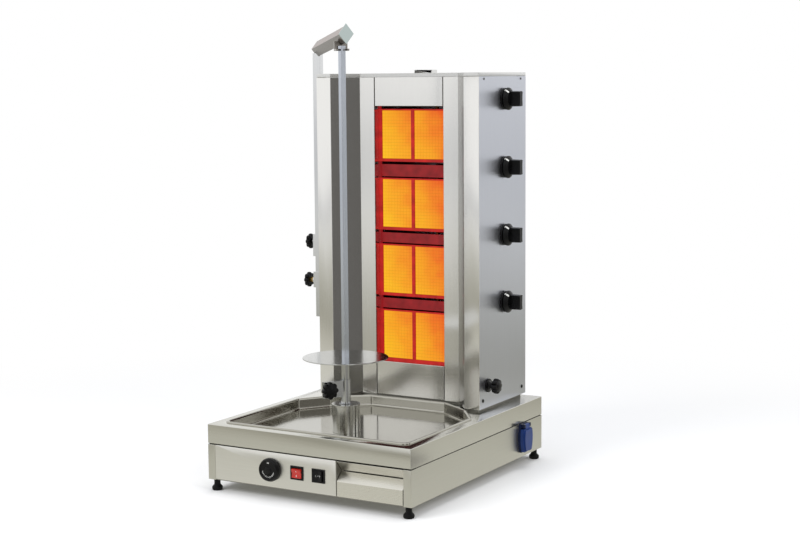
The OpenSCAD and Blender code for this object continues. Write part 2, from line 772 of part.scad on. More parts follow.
lower_casing();
base_bottom();
deck();
grease_pan();
pan_spout();
control_panel();
drawer_bay();
drawer_box();
drawer_front();
speed_knob();
speed_control();
red_switch();
red_rocker();
black_switch();
black_rocker();
outlet_box();
outlet_lid();
cable_gland();
foot_fl();
foot_fr();
foot_rl();
foot_rr();
drive_column();
drive_bracket();
drive_shaft();
drive_gear();
gear_motor();
motor_pinion();
spit_socket();
socket_knob();
spit_bar();
spit_plate();
heater_floor();
tower_frame();
side_panel_left();
side_panel_right();
front_columns();
front_panels();
burner_rails();
back_panel();
top_cap();
panel_screws();
burner_1();
burner_2();
burner_3();
burner_4();
plaques();
gas_rail();
inlet_nut();
tap_knob_1();
tap_knob_2();
tap_knob_3();
tap_knob_4();
tower_knob();
post_sleeves();
arm_post();
spit_arm();
arm_fork();
post_knob_upper();
post_knob_lower();
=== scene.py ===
"""Upright spit grill with four infrared burners: its looks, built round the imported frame."""
import json
import math

import bmesh
import bpy
from mathutils import Matrix, Vector


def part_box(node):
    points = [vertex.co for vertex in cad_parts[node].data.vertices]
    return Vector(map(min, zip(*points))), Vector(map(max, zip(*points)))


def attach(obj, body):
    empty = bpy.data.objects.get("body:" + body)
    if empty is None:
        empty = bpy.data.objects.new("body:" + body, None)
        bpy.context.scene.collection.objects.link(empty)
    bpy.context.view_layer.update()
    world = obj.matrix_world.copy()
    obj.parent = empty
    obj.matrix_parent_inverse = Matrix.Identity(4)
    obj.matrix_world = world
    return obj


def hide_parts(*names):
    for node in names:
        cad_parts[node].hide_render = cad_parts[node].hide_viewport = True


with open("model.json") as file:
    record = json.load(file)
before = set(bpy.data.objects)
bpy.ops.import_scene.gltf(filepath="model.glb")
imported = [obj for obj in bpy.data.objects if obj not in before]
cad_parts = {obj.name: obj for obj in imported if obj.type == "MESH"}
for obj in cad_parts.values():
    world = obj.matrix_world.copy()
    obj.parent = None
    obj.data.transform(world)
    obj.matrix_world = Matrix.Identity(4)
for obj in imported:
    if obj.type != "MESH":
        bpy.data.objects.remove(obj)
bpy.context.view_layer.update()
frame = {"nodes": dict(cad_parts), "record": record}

# ------------------------------
# Camera: it stands off the grill's front right corner, a little below the top
# of the tower, with a long lens tilted down by under seven degrees.
eye = Vector((2.1831, -3.6348, 1.0549))
yaw, pitch, roll = (math.radians(a) for a in (30.255, 6.634, -0.454))
ahead = Vector((-math.sin(yaw) * math.cos(pitch), math.cos(yaw) * math.cos(pitch), -math.sin(pitch)))
level = Vector((math.cos(yaw), math.sin(yaw), 0))
across = level * math.cos(roll) + level.cross(ahead) * math.sin(roll)


def placed(name, data):
    """A new object of the scene."""
    thing = bpy.data.objects.new(name, data)
    bpy.context.scene.collection.objects.link(thing)
    return thing


lens = bpy.data.cameras.new("camera")
lens.sensor_width = 36
lens.lens = 72.214
camera = placed("camera", lens)
turn = Matrix((across, across.cross(ahead), -ahead)).transposed()
camera.matrix_world = Matrix.Translation(eye) @ turn.to_4x4()
bpy.context.scene.camera = camera
bpy.context.scene.view_settings.view_transform = "Standard"


# ------------------------------
# Studio: white surroundings and a pale floor that keeps the object's shadow.
# A grey mat on the floor and four dark flags are seen by the steel only.
def linear(hex_colour):
    """sRGB hex to the linear colour that a socket takes."""
    parts = [int(hex_colour[i:i + 2], 16) / 255 for i in (1, 3, 5)]
    return [p / 12.92 if p <= 0.04045 else ((p + 0.055) / 1.055) ** 2.4 for p in parts] + [1.0]


def put(tree, kind, fills=None, to=None, **settings):
    """Adds a node. Each input in fills gets its value, or the node or socket that feeds it; to is fed by the node."""
    node = tree.nodes.new(kind if "Node" in kind else "ShaderNode" + kind)
    for name, value in settings.items():
        setattr(node, name, value)
    for name, value in (fills or {}).items():
        if isinstance(value, bpy.types.Node):
            value = value.outputs[0]
        if isinstance(value, bpy.types.NodeSocket):
            tree.links.new(value, node.inputs[name])
        else:
            node.inputs[name].default_value = value
    if to:
        tree.links.new(node.outputs[0], to.inputs[0])
    return node


def new_material(name):
    """An empty material: its node tree and its output."""
    material = bpy.data.materials.new(name)
    material.use_nodes = True
    material.node_tree.nodes.clear()
    return material, material.node_tree, put(material.node_tree, "OutputMaterial")


def any_ray(tree, *kinds):
    """1 for rays of any of these kinds."""
    path = put(tree, "LightPath")
    total = path.outputs[kinds[0]]
    for kind in kinds[1:]:
        total = put(tree, "Math", {0: total, 1: path.outputs[kind]}, operation="MAXIMUM")
    return total


world = bpy.data.worlds.new("studio")
world.use_nodes = True
sky = world.node_tree
sky.nodes.clear()
seen = any_ray(sky, "Is Camera Ray", "Is Glossy Ray", "Is Transmission Ray")
fill_light = put(sky, "Background", {"Color": linear("#F4F6FA"), "Strength": 0.62})
white_seen = put(sky, "Background", {"Color": (1, 1, 1, 1), "Strength": 1.0})
both = put(sky, "MixShader", {0: seen, 1: fill_light, 2: white_seen})
put(sky, "OutputWorld", {0: both})
bpy.context.scene.world = world


def studio_card(name, corners, material, reflected_only=False):
    """A flat sheet of the studio, if wanted one that only reflections show."""
    mesh = bpy.data.meshes.new(name)
    mesh.from_pydata(corners, [], [list(range(len(corners)))])
    mesh.materials.append(material)
    card = placed(name, mesh)
    if reflected_only:
        card.visible_camera = False
        card.visible_diffuse = False
        card.visible_shadow = False
        card.visible_transmission = False


paper, tree, out = new_material("white_paper_sweep")
place = put(tree, "TexCoord").outputs["Object"]
distance = put(tree, "VectorMath", {0: place}, operation="LENGTH")
fade = put(tree, "MapRange", {
    "Value": distance.outputs["Value"], "From Min": 0.7, "From Max": 2.2}, interpolation_type="SMOOTHSTEP")
lit = put(tree, "BsdfDiffuse", {"Color": linear("#FBFBFB")})
bright = put(tree, "Emission", {"Color": (1, 1, 1, 1), "Strength": 1.0})
share = put(tree, "Math", {0: fade, 1: any_ray(tree, "Is Camera Ray", "Is Transmission Ray")}, operation="MULTIPLY")
put(tree, "MixShader", {0: share, 1: lit, 2: bright}, to=out)
studio_card("floor", [(-30, -30, 0), (30, -30, 0), (30, 30, 0), (-30, 30, 0)], paper)

mat_grey, tree, out = new_material("grey_floor_mat")
place = put(tree, "TexCoord").outputs["Object"]
distance = put(tree, "VectorMath", {0: place}, operation="LENGTH")
reach = put(tree, "MapRange", {"Value": distance.outputs["Value"], "From Min": 0.4, "From Max": 9.0})
ramp = put(tree, "ValToRGB", {"Fac": reach})
ramp.color_ramp.elements[0].color = linear("#DAD9D2")
ramp.color_ramp.elements[1].color = linear("#F6F6F4")
for stop, grey in ((0.05, "#D6D5CC"), (0.1, "#BFBDB2"), (0.15, "#A3A195"), (0.3, "#B9B8AE"), (0.48, "#D2D1CB"),
                   (0.65, "#E4E4E0")):
    ramp.color_ramp.elements.new(stop).color = linear(grey)
put(tree, "Emission", {"Color": ramp, "Strength": 1.0}, to=out)
studio_card("floor_mat", [(-9, -9, 0.0004), (9, -9, 0.0004), (9, 9, 0.0004), (-9, 9, 0.0004)], mat_grey, True)

for name, grey, height, corners in (
        ("flag_right", "#94928F", 2.4, [(2.6, -1.9), (2.6, -0.3)]),
        ("flag_floor", "#94928F", 0, [(0.6, -1.8), (2.6, -1.9), (2.6, -0.3), (0.6, 0.1)]),
        ("flag_camera", "#5A5044", 2.6, [(0.87, -5.1), (2.87, -4.27)]),
        ("flag_side", "#121212", 2.2, [(2.3, 0.5), (2.3, 1.2)])):
    flag, tree, out = new_material(name)
    put(tree, "Emission", {"Color": linear(grey), "Strength": 1.0}, to=out)
    low = [(x, y, 0 if height else 0.02) for x, y in corners]
    studio_card(name, low + [(x, y, height) for x, y in reversed(corners) if height], flag, True)

for name, spot, target, size, power in [
        ("softbox_front", (-1.6, -3.4, 3.2), (0, 0, 0.5), 2.2, 85),
        ("softbox_right", (3.6, -0.6, 2.8), (0, 0, 0.6), 2.0, 45),
        ("softbox_top", (0.2, 0.6, 4.2), (0, 0, 0), 2.6, 60)]:
    light = bpy.data.lights.new(name, "AREA")
    light.shape = "SQUARE"
    light.size = size
    light.energy = power
    lamp = placed(name, light)
    aim = (Vector(target) - Vector(spot)).to_track_quat("-Z", "Y")
    lamp.matrix_world = Matrix.Translation(spot) @ aim.to_matrix().to_4x4()
    lamp.visible_glossy = False


# ------------------------------
# Feet: four levelling feet of black glass-filled nylon, each moulded round a
# steel stud that screws into a boss of the bottom plate.
def moulded(name, colour, rough=0.42, grain_mm=0.9, dent=0.04, sheen=0.22):
    """Moulded plastic: an even colour with a faint spark-eroded grain that softens its shine."""
    material, tree, out = new_material(name)
    place = put(tree, "TexCoord").outputs["Object"]
    grain = put(tree, "TexNoise", {"Vector": place, "Scale": 1000 / grain_mm, "Detail": 2.0})
    wear = put(tree, "TexNoise", {"Vector": place, "Scale": 45.0, "Detail": 3.0})
    shine = put(tree, "MapRange", {
        "Value": wear.outputs["Fac"], "From Min": 0.3, "From Max": 0.7, "To Min": rough - 0.05,
        "To Max": rough + 0.07})
    pores = put(tree, "Bump", {"Height": grain.outputs["Fac"], "Strength": dent * 4, "Distance": 0.0002})
    shade = put(tree, "MapRange", {
        "Value": wear.outputs["Fac"], "From Min": 0.3, "From Max": 0.7, "To Min": 0.9, "To Max": 1.12})
    body = put(tree, "HueSaturation", {"Color": linear(colour), "Value": shade})
    put(tree, "BsdfPrincipled", {
        "Base Color": body, "Roughness": shine, "Normal": pores, "Specular IOR Level": sheen}, to=out)
    return material


def spun(profile, steps=48, lobes=0):
    """Turned shape about Z in mm, from (radius, height) or, where it is lobed, (radius, height, depth)."""
    shape = bmesh.new()
    rings = []
    for radius, height, *depth in profile:
        ring = []
        for i in range(steps if radius else 1):
            a = 2 * math.pi * i / steps
            out_to = radius * (1 - (depth[0] if depth else 0) * (1 - abs(math.cos(lobes * a / 2)) ** 0.75))
            ring.append(shape.verts.new((out_to * math.cos(a), out_to * math.sin(a), height)))
        rings.append(ring)
    for low, high in zip(rings, rings[1:]):
        for i in range(steps):
            j = i + 1
            corners = [low[i % len(low)], low[j % len(low)], high[j % len(high)], high[i % len(high)]]
            corners = list(dict.fromkeys(corners))
            if len(corners) > 2:
                shape.faces.new(corners)
    for ring in (rings[0], rings[-1]):
        if len(ring) > 1:
            shape.faces.new(ring)
    return shape


def laid(x=0, y=0, z=0, along="Z", spin=0):
    """Place in mm of a shape made along +Z, laid along +X, -X, -Y, +Y or Z after its own turn."""
    over = {"Z": Matrix.Identity(4), "X": Matrix.Rotation(math.pi / 2, 4, "Y"),
            "-X": Matrix.Rotation(-math.pi / 2, 4, "Y"), "-Y": Matrix.Rotation(math.pi / 2, 4, "X"),
            "Y": Matrix.Rotation(-math.pi / 2, 4, "X")}[along]
    return Matrix.Translation((x, y, z)) @ over @ Matrix.Rotation(math.radians(spin), 4, "Z")


body_of = {n: b for b, group in frame["record"]["behaviour"]["bodies"].items() for n in group}


def settled(piece, *nodes):
    """The piece stands for these nodes and moves with their body."""
    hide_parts(*nodes)
    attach(piece, body_of[nodes[0]])


def flattened(mesh, angle):
    """Corner normals led by the widest faces, so that flats stay flat up to their rounded edges."""
    limit = math.cos(math.radians(angle))
    near = [[] for _ in mesh.vertices]
    for face in mesh.polygons:
        for v in face.vertices:
            near[v].append((face.normal.copy(), face.area))
    normals = []
    for face in mesh.polygons:
        for v in face.vertices:
            lean = Vector((0, 0, 0))
            for normal, area in near[v]:
                if normal.dot(face.normal) > limit:
                    lean += normal * area
            normals.append(lean.normalized() if lean.length > 0 else face.normal.copy())
    mesh.normals_split_custom_set(normals)


def joined(name, parts, smooth=True):
    """One mesh in metres from shapes made in mm, each with its finish and place."""
    whole = bmesh.new()
    finishes = []
    for shape, finish, spot in parts:
        if finish not in finishes:
            finishes.append(finish)
        shape.transform(Matrix.Scale(0.001, 4) @ spot)
        bmesh.ops.recalc_face_normals(shape, faces=shape.faces)
        for face in shape.faces:
            face.smooth = face.smooth or smooth
            face.material_index = finishes.index(finish)
        part = bpy.data.meshes.new("part")
        shape.to_mesh(part)
        shape.free()
        whole.from_mesh(part)
        bpy.data.meshes.remove(part)
    mesh = bpy.data.meshes.new(name)
    whole.to_mesh(mesh)
    whole.free()
    for finish in finishes:
        mesh.materials.append(finish)
    return mesh


def soften(piece, edge, angle, segments):
    """Breaks the sharp edges of a piece by so many metres."""
    rounding = piece.modifiers.new("broken_edges", "BEVEL")
    rounding.width = edge
    rounding.segments = segments
    rounding.limit_method = "ANGLE"
    rounding.angle_limit = math.radians(angle)
    rounding.harden_normals = True


def shaped(name, mesh, nodes, edge, angle, segments=2):
    """Makes the mesh the piece that stands for the nodes, flats kept flat and edges broken."""
    mesh.set_sharp_from_angle(angle=math.radians(angle))
    flattened(mesh, angle)
    piece = placed(name, mesh)
    if edge:
        soften(piece, edge, angle, segments)
    settled(piece, *nodes)
    return piece


def assembled(name, parts, *nodes, edge=0.0, angle=30):
    """Joins shapes made in mm into the piece that stands for the nodes."""
    shaped(name, joined(name, parts), nodes, edge, angle)


foot_nylon = moulded("nylon_66_black_moulded", "#0C0C0D", rough=0.5, sheen=0.15)
foot_profile = [(0, 0), (11.4, 0), (12.4, 0.5), (13.6, 2.4), (14, 4.2), (14, 8), (13.3, 9.8), (11, 12.2), (9.2, 14),
                (8.4, 15.6), (8.2, 17), (8.2, 29), (7.8, 29.6), (5, 29.6), (5, 42.6), (0, 42.6)]
for node in ("foot_fl", "foot_fr", "foot_rl", "foot_rr"):
    low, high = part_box(node)
    centre = laid((low[0] + high[0]) * 500, (low[1] + high[1]) * 500)
    assembled(node + "_levelling", [(spun(foot_profile, 40), foot_nylon, centre)], node)


# ------------------------------
# Base: bottom plate, casing and deck frame, folded from 2 mm stainless sheet and
# brushed lengthwise. The deck frame drops over the casing; the casing's top faces are painted black as painted shade
# of the gap under it.
def steel(name, colour, grain, rough=0.27, spread=0.03, anisotropy=0.5, streak_mm=2.5, tint=0.02, dent=0.03):
    """Stainless steel brushed along one axis: fine parallel scratches that draw its reflections out."""
    material, tree, out = new_material(name)
    place = put(tree, "TexCoord").outputs["Object"]
    fine = 1000 / streak_mm
    slow = fine / 80
    scale = {"X": (slow, fine, fine), "Y": (fine, slow, fine), "Z": (fine, fine, slow)}[grain]
    drawn = put(tree, "Mapping", {"Vector": place, "Scale": scale})
    streaks = put(tree, "TexNoise", {"Vector": drawn, "Scale": 1.0, "Detail": 3.0, "Roughness": 0.65})
    cloud = put(tree, "TexNoise", {"Vector": place, "Scale": 5.0, "Detail": 2.0})
    both = put(tree, "Math", {0: streaks.outputs["Fac"], 1: cloud.outputs["Fac"]}, operation="ADD")
    shine = put(tree, "MapRange", {
        "Value": both, "From Min": 0.6, "From Max": 1.4, "To Min": rough - spread, "To Max": rough + spread})
    shade = put(tree, "MapRange", {
        "Value": streaks.outputs["Fac"], "From Min": 0.3, "From Max": 0.7, "To Min": 1 - tint, "To Max": 1 + tint})
    body = put(tree, "HueSaturation", {"Color": linear(colour), "Value": shade})
    scratch = put(tree, "Bump", {"Height": streaks.outputs["Fac"], "Strength": dent, "Distance": 0.0004})
    along = put(tree, "Tangent", direction_type="RADIAL", axis="Z")
    put(tree, "BsdfPrincipled", {
        "Base Color": body, "Metallic": 1.0, "Roughness": shine, "Anisotropic": anisotropy, "Normal": scratch,
        "Tangent": along}, to=out)
    return material


def finish(material, *nodes):
    """Gives CAD nodes that keep their own shape their real finish."""
    for node in nodes:
        frame["nodes"][node].data.materials.clear()
        frame["nodes"][node].data.materials.append(material)


def dressed(node, material, edge=0.0004, fold=0.0, angle=34, segments=2, clear_of=0.006):
    """A copy of a CAD node stands for it: folds between wide faces get their radius, other edges are broken."""
    mesh = frame["nodes"][node].data.copy()
    mesh.materials.clear()
    mesh.materials.append(material)
    shape = bmesh.new()
    shape.from_mesh(mesh)
    bmesh.ops.remove_doubles(shape, verts=shape.verts, dist=0.00001)
    bmesh.ops.dissolve_limit(shape, angle_limit=math.radians(0.5), verts=shape.verts, edges=shape.edges)
    if fold:
        folds = [e for e in shape.edges if len(e.link_faces) == 2 and e.calc_length() > clear_of
                 and e.calc_face_angle(0) > math.radians(angle)
                 and min(f.calc_area() for f in e.link_faces) > clear_of * e.calc_length()]
        bmesh.ops.bevel(shape, geom=folds, offset=fold, segments=3, profile=0.5, affect="EDGES", clamp_overlap=True)
    for face in shape.faces:
        face.smooth = True
        face.material_index = 0
    shape.to_mesh(mesh)
    shape.free()
    return shaped(node + "_shape", mesh, [node], edge, angle, segments)


casing_steel = steel("stainless_304_brushed_casing", "#CDCCC3", "Y", rough=0.3)
deck_steel = steel("stainless_304_satin_deck", "#CFCEC6", "X", rough=0.18, anisotropy=0.2)
inner_steel = steel("stainless_304_mill_finish", "#8B8A84", "X", rough=0.42, anisotropy=0.0)
casing = dressed("lower_casing", casing_steel, fold=0.0015)
# painted shade: the casing's upward top faces under the deck frame turn black, standing in for the dark gap between
# the two
casing.data.materials.append(moulded("painted_shade_black_deck_gap", "#0B0B0B", rough=0.6, sheen=0.1))
gap_shade_height = 0.1222
for face in casing.data.polygons:
    if face.normal.z > 0.9 and face.center.z > gap_shade_height:
        face.material_index = 1
dressed("deck", deck_steel, fold=0.0015)
finish(inner_steel, "base_bottom")


# ------------------------------
# Grease pan: deep-drawn from 1.6 mm stainless sheet and polished, so it mirrors
# what stands round it. Its flange lies on the deck; a drain leads to the drawer.
def offset_corners(corners, distance):
    """Counter-clockwise outline in mm moved inwards, mitred."""
    moved = []
    for i, (x, y) in enumerate(corners):
        a, b = Vector(corners[i - 1]), Vector(corners[(i + 1) % len(corners)])
        into, off = (Vector((x, y)) - a).normalized(), (b - Vector((x, y))).normalized()
        n1, n2 = Vector((-into.y, into.x)), Vector((-off.y, off.x))
        moved.append(tuple(Vector((x, y)) + (n1 + n2) * distance / (1 + n1.dot(n2))))
    return moved


def eased_corners(corners, radius, steps=6):
    """The outline with every corner turned to an arc, always of the same number of points."""
    points = []
    for i, corner in enumerate(corners):
        c, a, b = Vector(corner), Vector(corners[i - 1]), Vector(corners[(i + 1) % len(corners)])
        u, v = (a - c).normalized(), (b - c).normalized()
        half = math.acos(max(-1, min(1, u.dot(v)))) / 2
        centre = c + (u + v).normalized() * radius / math.sin(half)
        start = c + u * radius / math.tan(half) - centre
        sweep = math.pi - 2 * half
        turn_by = sweep if u.x * v.y - u.y * v.x < 0 else -sweep
        for k in range(steps + 1):
            t = turn_by * k / steps
            points.append((centre.x + start.x * math.cos(t) - start.y * math.sin(t),
                           centre.y + start.x * math.sin(t) + start.y * math.cos(t)))
    return points


def closed_loop(shape, points):
    """Edges round a ring of vertices."""
    return [shape.edges.get((a, b)) or shape.edges.new((a, b)) for a, b in zip(points, points[1:] + points[:1])]


def walled(shape, low, high):
    """Faces between two rings of as many vertices."""
    for i in range(len(low)):
        j = (i + 1) % len(low)
        shape.faces.new((low[i], low[j], high[j], high[i]))


def pressed_tray(outline, levels, holes):
    """Tray whose wall passes through (inward distance, corner radius, height) levels, its floor pierced by holes."""
    shape = bmesh.new()
    rings = []
    for distance, radius, height in levels:
        rings.append([shape.verts.new((x, y, height)) for x, y in
                      eased_corners(offset_corners(outline, distance), radius)])
    for low, high in zip(rings, rings[1:]):
        walled(shape, low, high)
    rims = []
    for radius, x, y in holes:
        turns = [math.pi * k / 16 for k in range(32)]
        rim = [[shape.verts.new((x + radius * math.cos(t), y + radius * math.sin(t), height)) for t in turns]
               for height in (levels[0][2], levels[-1][2])]
        walled(shape, *rim)
        rims.append(rim)
    for side, ring in ((0, rings[0]), (1, rings[-1])):
        loops = closed_loop(shape, ring)
        for rim in rims:
            loops += closed_loop(shape, rim[side])
        bmesh.ops.triangle_fill(shape, use_beauty=True, use_dissolve=False, edges=loops)
    return shape


def polished(name, colour, rough=0.08, wave=0.12, wave_mm=160, scuffs=0.05):
    """Polished sheet: a mirror with long soft waves from drawing, and faint scuffs from wiping."""
    material, tree, out = new_material(name)
    place = put(tree, "TexCoord").outputs["Object"]
    waves = put(tree, "TexNoise", {"Vector": place, "Scale": 1000 / wave_mm, "Detail": 1.0})
    wiped = put(tree, "TexNoise", {"Vector": place, "Scale": 60.0, "Detail": 4.0, "Roughness": 0.7})
    shine = put(tree, "MapRange", {
        "Value": wiped.outputs["Fac"], "From Min": 0.3, "From Max": 0.7, "To Min": rough - scuffs * 0.6,
        "To Max": rough + scuffs})
    drawn = put(tree, "Bump", {"Height": waves.outputs["Fac"], "Strength": wave, "Distance": 0.004})
    put(tree, "BsdfPrincipled", {
        "Base Color": linear(colour), "Metallic": 1.0, "Roughness": shine, "Normal": drawn}, to=out)
    return material


pan_steel = polished("stainless_304_drawn_polished", "#B2B0A7", rough=0.1)
pan_outline = [(-268, -330), (268, -330), (268, 0), (212, 78), (115, 145), (-115, 145), (-212, 78), (-268, 0)]
pan_levels = [(3, 12, 148.4), (0.6, 14, 150), (0, 15, 153), (0, 15, 175), (-6.8, 20, 175), (-7, 20, 175.4),
              (-7, 20, 176.4), (-6.6, 20, 177.8), (-5.6, 19.5, 178.9), (-4.2, 19, 179.5), (-2.8, 18, 179.5),
              (-1.4, 17, 178.9), (-0.3, 16, 177.8), (0.5, 15.5, 176.4), (1.1, 15, 175.6), (1.6, 14, 174.4),
              (1.6, 14, 156), (2.2, 13, 153), (3.9, 12, 151), (6.4, 10, 150.05), (9, 8, 150)]
assembled("grease_pan_pressed", [(pressed_tray(pan_outline, pan_levels, [(10.2, 185, -285), (18, 0, -175)]),
                                  pan_steel, laid())], "grease_pan", angle=40)
dressed("pan_spout", pan_steel)

# ------------------------------
# Control panel: one plate folded on three sides, polished finer than the casing,
# with cut-outs for the speed control and two snap-in switches.
panel_steel = steel("stainless_304_fine_brushed_panel", "#E2E1DB", "X", rough=0.34)
dressed("control_panel", panel_steel, fold=0.001, clear_of=0.004)
control_black = moulded("phenolic_black_control_body", "#1C1C1E", rough=0.55)
dressed("speed_control", control_black)


# ------------------------------
# Speed knob: black phenolic moulding with a milled edge and a raised finger bar,
# its figures printed white in the recess round the bar.
def figures(text, size, thick=0.12):
    """Printed characters in mm, standing up along +Z from 0."""
    curve = bpy.data.curves.new("figure", "FONT")
    curve.body = text
    curve.size = size
    curve.align_x = "CENTER"
    curve.align_y = "CENTER"
    curve.extrude = thick / 2
    carrier = bpy.data.objects.new("figure", curve)
    shape = bmesh.new()
    shape.from_mesh(carrier.to_mesh())
    bpy.data.objects.remove(carrier)
    bmesh.ops.remove_doubles(shape, verts=shape.verts, dist=0.0001)
    bmesh.ops.translate(shape, verts=shape.verts, vec=(0, 0, thick / 2))
    return shape


def prism(corners, z0, z1, top=1.0):
    """Upright prism in mm on an outline, its top drawn in by a factor."""
    shape = bmesh.new()
    low = [shape.verts.new((x, y, z0)) for x, y in corners]
    high = [shape.verts.new((x * top, y * top, z1)) for x, y in corners]
    shape.faces.new(low[::-1])
    shape.faces.new(high)
    walled(shape, low, high)
    return shape


def block(x0, x1, y0, y1, z0, z1):
    """Straight-sided block in mm, for shapes whose edges are broken later."""
    return prism([(x0, y0), (x1, y0), (x1, y1), (x0, y1)], z0, z1)


knob_black = moulded("phenolic_black_gloss", "#0A0A0B", rough=0.3, dent=0.02)
print_white = moulded("printing_ink_white", "#E9E9E4", rough=0.6)
dial = laid(-106, -367.6, 78, along="-Y")
dial_profile = [(0, -17), (3, -17), (3, 0), (29.4, 0), (30, 0.6), (30, 7.2), (29.3, 8.2), (27.2, 14.2), (26, 15.2),
                (24.8, 15.2), (24, 14.6), (22.6, 12.4), (11.5, 12.2), (10.2, 13.2), (9.4, 15), (8.4, 15.4), (0, 15.4)]
parts = [(spun(dial_profile, 72), knob_black, dial)]
ribs = 36
for i in range(ribs):
    rib = dial @ Matrix.Rotation(2 * math.pi * i / ribs, 4, "Z") @ Matrix.Translation((28.9, 0, 1.2))
    parts.append((block(0, 1.05, -0.8, 0.8, 0, 6.4), knob_black, rib))
parts += [(block(x - 0.7, x + 0.7, 17.4, 21, 12.2, 12.6), print_white, dial) for x in (-1.7, 1.7)]
scale_radius = 17.4
for i in range(11):
    around = math.radians(250 - i * 14)
    spot = Matrix.Translation((scale_radius * math.sin(around), scale_radius * math.cos(around), 12.3))
    shape = spun([(0, 0), (1.1, 0), (1.1, 0.15), (0, 0.15)], 12) if i % 2 else figures(str(i // 2), 6.2)
    parts.append((shape, print_white, dial @ spot))
assembled("speed_knob_moulding", parts, "speed_knob", edge=0.00025, angle=35)

# ------------------------------
# Switches: black polyamide housings snapped into the panel, a red translucent
# rocker for the mains and a black centre-off rocker for the spit's direction.
switch_black = moulded("polyamide_66_black_fine", "#0A0A0B", rough=0.4, dent=0.03)
red_lens, tree, out = new_material("polycarbonate_red_translucent")
place = put(tree, "TexCoord").outputs["Object"]
glow_spot = put(tree, "TexNoise", {"Vector": place, "Scale": 90.0, "Detail": 1.0})
shade = put(tree, "MapRange", {
    "Value": glow_spot.outputs["Fac"], "From Min": 0.3, "From Max": 0.7, "To Min": 0.88, "To Max": 1.15})
body = put(tree, "HueSaturation", {"Color": linear("#B42C24"), "Value": shade})
put(tree, "BsdfPrincipled", {
    "Base Color": body, "Roughness": 0.22, "Subsurface Weight": 0.25, "Subsurface Radius": (0.004, 0.001, 0.0006),
    "Subsurface Scale": 1.0, "Emission Color": linear("#E02A18"), "Emission Strength": 0.02}, to=out)
for node in ("red_switch", "black_switch"):
    dressed(node, switch_black, edge=0.0006, segments=3)
dressed("red_rocker", red_lens, edge=0.0007, segments=3)
dressed("black_rocker", switch_black, edge=0.0007, segments=3)


def printed(name, parts, body):
    """Print or trim that has no CAD node of its own and moves with a body."""
    piece = placed(name, joined(name, parts, smooth=False))
    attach(piece, body)


pin_y = -361
upright = Matrix.Rotation(math.pi / 2, 4, "X")
red_face = Matrix.Translation((-26.5, pin_y, 78)) @ Matrix.Rotation(math.radians(7), 4, "X")
slope = math.atan2(3, 11)
marks = []
for side, label in ((-1, "0"), (1, "I")):
    spot = red_face @ Matrix.Translation((0, -10.6, side * 5.8)) @ Matrix.Rotation(side * slope, 4, "X")
    marks.append((figures(label, 6.5), print_white, spot @ upright))
printed("red_rocker_marks", marks, "rocker_red")
black_face = Matrix.Translation((37.7, pin_y, 78))
slope = math.atan2(3, 12)
marks = [(figures("0", 4.5), print_white, black_face @ Matrix.Translation((0.2, -9.2, 0)) @ upright)]
for side, label in ((-1, "I"), (1, "II")):
    spot = black_face @ Matrix.Translation((side * 6.2, -10.62, 0)) @ Matrix.Rotation(-side * slope, 4, "Z")
    marks.append((figures(label, 5.5), print_white, spot @ upright))
printed("black_rocker_marks", marks, "rocker_black")

# ------------------------------
# Outlet: blue polyamide socket screwed to the right wall, its hinged lid held
# shut by a spring, with a raised disc that seals the round well.
outlet_blue = moulded("polyamide_blue_lid", "#1C3774", rough=0.34, dent=0.03, sheen=0.35)
# painted shade: the housing is a darker navy than the lid, standing in for the shade on its sides; the seal disc
# takes the same colour
outlet_blue_painted_darker = moulded("polyamide_blue_housing_painted_shade", "#0E1A3A", rough=0.36, dent=0.03)
dressed("outlet_box", outlet_blue_painted_darker, edge=0.0012, segments=3)
dressed("outlet_lid", outlet_blue, edge=0.0022, segments=4)
seal = spun([(0, 0), (17.5, 0), (18.5, 0.8), (18.5, 1.6), (0, 1.6)], 48)
printed("outlet_seal", [(seal, outlet_blue_painted_darker, laid(309.7, 245, 80, along="X"))], "lid")

# ------------------------------
# Cable gland: black polyamide screwed gland with a domed, ribbed nut.
hole = laid(-303, 250, 80, along="-X")
gland_profile = [(4.6, -14), (4.6, 20), (8.5, 20), (10.2, 18), (11.3, 14), (11.5, 9), (13.2, 9), (13.9, 8.3),
                 (13.9, 0.7), (13.2, 0), (8.3, 0), (8.3, -13.6), (8.6, -14)]
parts = [(spun(gland_profile, 60), switch_black, hole)]
ribs = 12
for i in range(ribs):
    rib = hole @ Matrix.Rotation(2 * math.pi * i / ribs, 4, "Z")
    parts.append((block(10.6, 11.9, -0.9, 0.9, 9, 16), switch_black, rib))
assembled("cable_gland_moulding", parts, "cable_gland", edge=0.0003)

# ------------------------------
# Drawer: bay and box of plain sheet, and a front folded to a finger groove.
dressed("drawer_bay", inner_steel, edge=0)
dressed("drawer_box", inner_steel, fold=0.001)
drawer_steel = steel("stainless_304_brushed_drawer_front", "#DCDAD1", "X", rough=0.28)
dressed("drawer_front", drawer_steel, fold=0.0015)

# ------------------------------
# Drive: round column on the pan with a turned lip, and below the pan a gear
# motor whose pinion drives the spit's shaft through a brass wheel.
def turned(name, colour, rough):
    """Tube polished in a lathe: fine rings round it draw every reflection out lengthwise."""
    material, tree, out = new_material(name)
    place = put(tree, "TexCoord").outputs["Object"]
    spot = put(tree, "SeparateXYZ", {0: place})
    rings = put(tree, "TexNoise", {
        "W": put(tree, "Math", {0: spot.outputs["Z"], 1: 2500.0}, operation="MULTIPLY")}, noise_dimensions="1D")
    shine = put(tree, "MapRange", {
        "Value": rings.outputs["Fac"], "From Min": 0.3, "From Max": 0.7, "To Min": rough - 0.01,
        "To Max": rough + 0.01})
    upright = put(tree, "CombineXYZ", {"Z": 1.0})
    put(tree, "BsdfPrincipled", {
        "Base Color": linear(colour), "Metallic": 1.0, "Roughness": shine, "Anisotropic": 0.92, "Tangent": upright},
        to=out)
    return material


